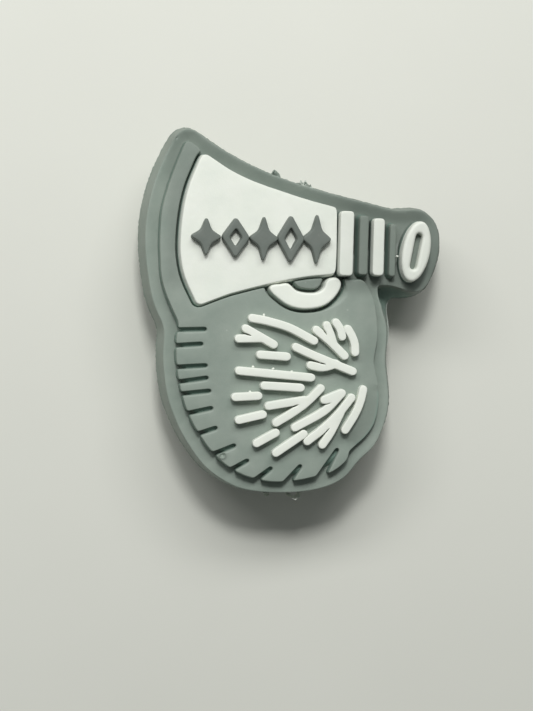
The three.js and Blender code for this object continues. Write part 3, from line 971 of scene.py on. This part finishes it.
def inlays():
    inlay("horn_panel", "white_silicone", WHITE, PAD_ROOT_Z, lean=0.21, reach=0.12, drop=0.08,
          foot=RELIEF_Z - 0.6, tilt=(-0.2, -0.16))
    inlay("handle_ring", "white_silicone", WHITE, PAD_ROOT_Z, lean=0.15, reach=0.14, drop=0.1)
    inlay("mouth_ring", "white_silicone", WHITE, ROOT_Z, lean=0.07, reach=0.25, drop=0.2,
          foot=RELIEF_Z - 0.4)
    slot_floor()
    for name in BANDS:
        inlay(name, "white_silicone", WHITE, ROOT_Z, lean=0.06, reach=0.1, drop=0.08,
              foot=RELIEF_Z - 0.25)
    for name in STREAKS:
        inlay(name, "white_silicone", WHITE, ON_RELIEF_Z, lean=0.05, reach=0.08, drop=0.06,
              rounds=1)
    for name in EMBLEMS:
        inlay(name, "dark_grey_silicone", DARK_GREY, ON_RELIEF_Z, lean=0.1, reach=0.12, drop=0.1,
              rounds=2)


# ---- moulding marks --------------------------------------------------------------------

def resampled_line(points, step):
    """The same open line with evenly spaced points and softened corners."""
    points = np.array(points, float)
    run = np.concatenate([[0], np.cumsum(np.linalg.norm(np.diff(points, axis=0), axis=1))])
    stations = np.linspace(0, run[-1], max(8, round(run[-1] / step)))
    line = np.column_stack([np.interp(stations, run, points[:, k]) for k in (0, 1)])
    for _ in range(3):
        line[1:-1] = (line[:-2] + 2 * line[1:-1] + line[2:]) / 4
    return line


def torn_flap(name, spine):
    """A scrap of torn flash: a thin upright ribbon over a line, ragged at its top and tapered
    at its ends."""
    path = resampled_line(spine, MOVE_STEP)
    along = np.gradient(path, axis=0)
    side = np.column_stack([along[:, 1], -along[:, 0]])
    side /= np.linalg.norm(side, axis=1)[:, None]
    verts = []
    for i, (spot, across) in enumerate(zip(path, side)):
        share = i / (len(path) - 1)
        full = min(1.0, TORN_TAPER * share + TORN_END, TORN_TAPER * (1 - share) + TORN_END)
        place = Vector((spot[0], spot[1], TORN_PLANE)) * TORN_WAVES
        rough = 1 + TORN_ROUGH * noise.noise(place)
        half = TORN_THICKNESS / 2 * full
        top = TORN_Z + TORN_HEIGHT * full * rough
        for shift, z in ((-half, TORN_Z), (half, TORN_Z), (half * 0.7, top), (-half * 0.7, top)):
            verts.append((*(spot + across * shift), z))
    faces = [(3, 2, 1, 0)]
    for i in range(len(path) - 1):
        for k in range(4):
            a = 4 * i + k
            b = 4 * i + (k + 1) % 4
            faces.append((a, b, b + 4, a + 4))
    last = 4 * (len(path) - 1)
    faces.append((last, last + 1, last + 2, last + 3))
    finish_piece(new_object(name, verts, faces, GREY), "grey_silicone")


def nib(name, centre, size):
    """A small ragged lump of white silicone."""
    mesh = bpy.data.meshes.new(name)
    build = bmesh.new()
    bmesh.ops.create_icosphere(build, subdivisions=3, radius=1.0)
    for vert in build.verts:
        bulge = 1 + NIB_BULGE * noise.noise(vert.co * NIB_WAVES + Vector(centre))
        vert.co = (Vector(centre) + Vector([a * b * bulge for a, b in zip(vert.co, size)])) * MM
    build.to_mesh(mesh)
    build.free()
    finish_piece(shown(name, mesh, WHITE), "white_silicone")


def flake(name, outline, z, material, curl=0.0):
    """A thin crumpled scrap of flash that lies at a height, or curls up beyond the hole's foot."""
    loop = resampled(np.array(outline))

    def bend(points, z):
        rise = swell(points, *TORN_SWELL) + curl * np.clip(HOLE_FOOT - points[:, 1], 0, 1)
        return np.column_stack([np.zeros((len(points), 2)), rise])
    inside = lattice([loop], 0.12, 0.05)
    profile = [(0.0, z), (0.0, z + TORN_THICKNESS)]
    piece = carried(name, [loop], profile, material, 0.0, bend, inside)
    finish_piece(piece, "grey_silicone")


def flash_line(name, edge, start, end):
    """Thin flash that stands out along the parting line, from one point of it to another."""
    first = np.argmin(np.linalg.norm(edge - start, axis=1))
    last = np.argmin(np.linalg.norm(edge - end, axis=1))
    steps = np.arange((last - first) % len(edge) + 1)
    stretch = (first + steps) % len(edge)
    span, look = edge[stretch], away(edge)[stretch]
    width = FLASH + THICK_WIDTH + THICK_RAGGED * swell(span, THICK_GRIT, 1.0)
    width *= np.clip(np.minimum(steps, steps[::-1]) / THICK_TAPER, 0.1, 1)
    loop = np.vstack([span + look * width[:, None], (span - look * THICK_ROOT)[::-1]])
    profile = [(0.0, PARTING_Z + THICK_LOW), (0.0, PARTING_Z + THICK_HIGH)]
    # its paler material is painted light
    finish_piece(carried(name, [loop], profile, FLASH_PAINTED_LIGHT, 0.0), "grey_silicone")


def moulding_marks(edge):
    """Torn flash at the two ends of the thread hole, a flash line, and nibs beside the inlays."""
    flake("torn_flake_1", [(-2.0, 10.8), (-0.85, 10.6), (-0.95, 11.1), (-1.05, 11.4), (-1.3, 11.66),
                           (-1.5, 11.78), (-1.62, 11.7), (-1.7, 11.4), (-1.85, 11.2)],
          TORN_Z, GREY)
    flake("torn_flake_2", [(0.5, 10.2), (1.9, 9.9), (1.7, 10.4), (1.55, 10.7), (1.44, 10.55),
                           (1.3, 10.74), (1.17, 11.04), (1.08, 11.0), (1.0, 10.78), (0.88, 10.78),
                           (0.8, 11.0), (0.72, 10.98), (0.62, 10.7)], TORN_Z, FLASH_PAINTED_LIGHT)
    flake("torn_flake_3", [(-0.6, 10.5), (0.3, 10.2), (0.25, 10.78), (0.05, 10.86), (-0.15, 10.84),
                           (-0.35, 10.99), (-0.55, 11.05)], TORN_Z, FLASH_PAINTED_LIGHT)
    torn_flap("torn_flash_1", [(-1.78, 11.2), (-1.6, 11.66), (-1.4, 11.68)])
    torn_flap("torn_flash_2", [(1.02, 10.5), (1.12, 10.9), (1.28, 10.5)])
    torn_flap("torn_flash_3", [(0.3, 10.7), (0.6, 10.72), (0.8, 10.6)])
    # the fourth and fifth scraps lie in the bead's shadow; their near-white material is painted
    # light
    flake("torn_flash_4", [(-0.25, -14.4), (0.1, -15.15), (0.45, -15.38), (0.8, -15.55),
                           (0.95, -15.42), (1.25, -15.36), (1.32, -15.15), (1.4, -14.4),
                           (1.12, -14.4), (1.02, -15.1), (0.8, -15.22), (0.5, -15.14),
                           (0.25, -14.9), (0.15, -14.4)], TORN_Z + 0.4, PALE_FLASH_PAINTED_LIGHT, TORN_CURL)
    flake("torn_flash_5", [(-1.85, -14.4), (-1.82, -15.12), (-1.68, -15.33), (-1.52, -15.24),
                           (-1.34, -15.2), (-1.3, -14.4)], TORN_Z + 0.7, PALE_FLASH_PAINTED_LIGHT, TORN_CURL)
    flash_line("flash_line_2", edge, (8.9, -3.0), (11.2, 1.6))
    beside_streaks = [(-2.47, -0.4), (-3.25, -4.65), (-1.6, -4.78), (-0.05, -4.96),
                      (-3.44, -6.68), (-3.22, -8.44)]
    for i, (x, y) in enumerate(beside_streaks):
        nib(f"nib_{i + 1}", (x, y, RELIEF_Z + 0.04), (0.1, 0.1, 0.1))
    nib("nib_7", (8.4, 4.74, RELIEF_Z + 0.1), (0.12, 0.09, 0.16))


# ---- stage -----------------------------------------------------------------------------

YAW = radians(7.3)                   # the camera stands this far to the bead's left
ROLL = radians(1.6)                  # and the bead lies turned this far clockwise before it
DISTANCE = 170.0
AIM = Vector((-2.15, -3.70, 7.2))
LENS = 105.6                         # on a sensor 36 wide
SENSOR = 36
TURN = Matrix.Rotation(ROLL, 3, "Z")
FLOOR_HALF = 400.0
WORLD_COLOUR = (0.93, 0.97, 0.95, 1)
WORLD_STRENGTH = 0.16


def camera():
    data = bpy.data.cameras.new("camera")
    data.sensor_width = SENSOR
    data.lens = LENS
    data.clip_start = 0.01
    data.clip_end = 5
    made = linked("camera", data)
    right = TURN @ Vector((cos(YAW), 0, sin(YAW)))
    up = TURN @ Vector((0, 1, 0))
    back = right.cross(up)
    made.matrix_world = Matrix.Translation((AIM + back * DISTANCE) * MM) @ Matrix(
        (right, up, back)).transposed().to_4x4()
    bpy.context.scene.camera = made


def area_light(name, elevation, leftward, distance, size, power, colour):
    """A rectangular light at an elevation above the top of the picture, turned leftward."""
    data = bpy.data.lights.new(name, "AREA")
    data.shape = "RECTANGLE"
    data.size = size[0] * MM
    data.size_y = size[1] * MM
    data.energy = power
    data.color = colour
    made = linked(name, data)
    level = cos(radians(elevation))
    towards = TURN @ Vector((-level * sin(radians(leftward)), level * cos(radians(leftward)),
                             sin(radians(elevation))))
    made.location = towards * distance * MM
    made.rotation_euler = towards.to_track_quat("Z", "Y").to_euler()


def floor():
    material = bpy.data.materials.new("pale_floor")
    material.use_nodes = True
    tree = material.node_tree
    shader = tree.nodes["Principled BSDF"]
    where = node(tree, "ShaderNodeTexCoord", (-900, 0)).outputs["Object"]
    mottle = texture(tree, "ShaderNodeTexNoise", where, (-700, 0), Scale=60.0, Detail=4.0)
    tint = node(tree, "ShaderNodeValToRGB", (-450, 0))
    tint.color_ramp.elements[0].color = (*srgb(213, 214, 206), 1)
    tint.color_ramp.elements[1].color = (*srgb(218, 219, 211), 1)
    tree.links.new(mottle["Fac"], tint.inputs["Fac"])
    tree.links.new(tint.outputs["Color"], shader.inputs["Base Color"])
    shader.inputs["Roughness"].default_value = 0.75
    half = FLOOR_HALF * MM
    mesh = bpy.data.meshes.new("floor")
    mesh.from_pydata([(-half, -half, 0), (half, -half, 0), (half, half, 0), (-half, half, 0)],
                     [], [(0, 1, 2, 3)])
    mesh.materials.append(material)
    linked("floor", mesh)


def stage():
    camera()
    floor()
    area_light("window", elevation=60, leftward=9, distance=270, size=(50, 42), power=0.322,
               colour=(1.0, 1.0, 0.985))
    area_light("sky", elevation=48, leftward=9, distance=250, size=(350, 60), power=0.475,
               colour=(1.0, 1.0, 0.99))
    world = bpy.data.worlds.new("world")
    world.use_nodes = True
    background = world.node_tree.nodes["Background"]
    background.inputs["Color"].default_value = WORLD_COLOUR
    background.inputs["Strength"].default_value = WORLD_STRENGTH
    bpy.context.scene.world = world
    bpy.context.scene.view_settings.view_transform = "Standard"


EDGE = body_edge()
front_body(EDGE)
back_body(EDGE)
relief()
inlays()
moulding_marks(EDGE)
stage()

bpy.context.view_layer.update()
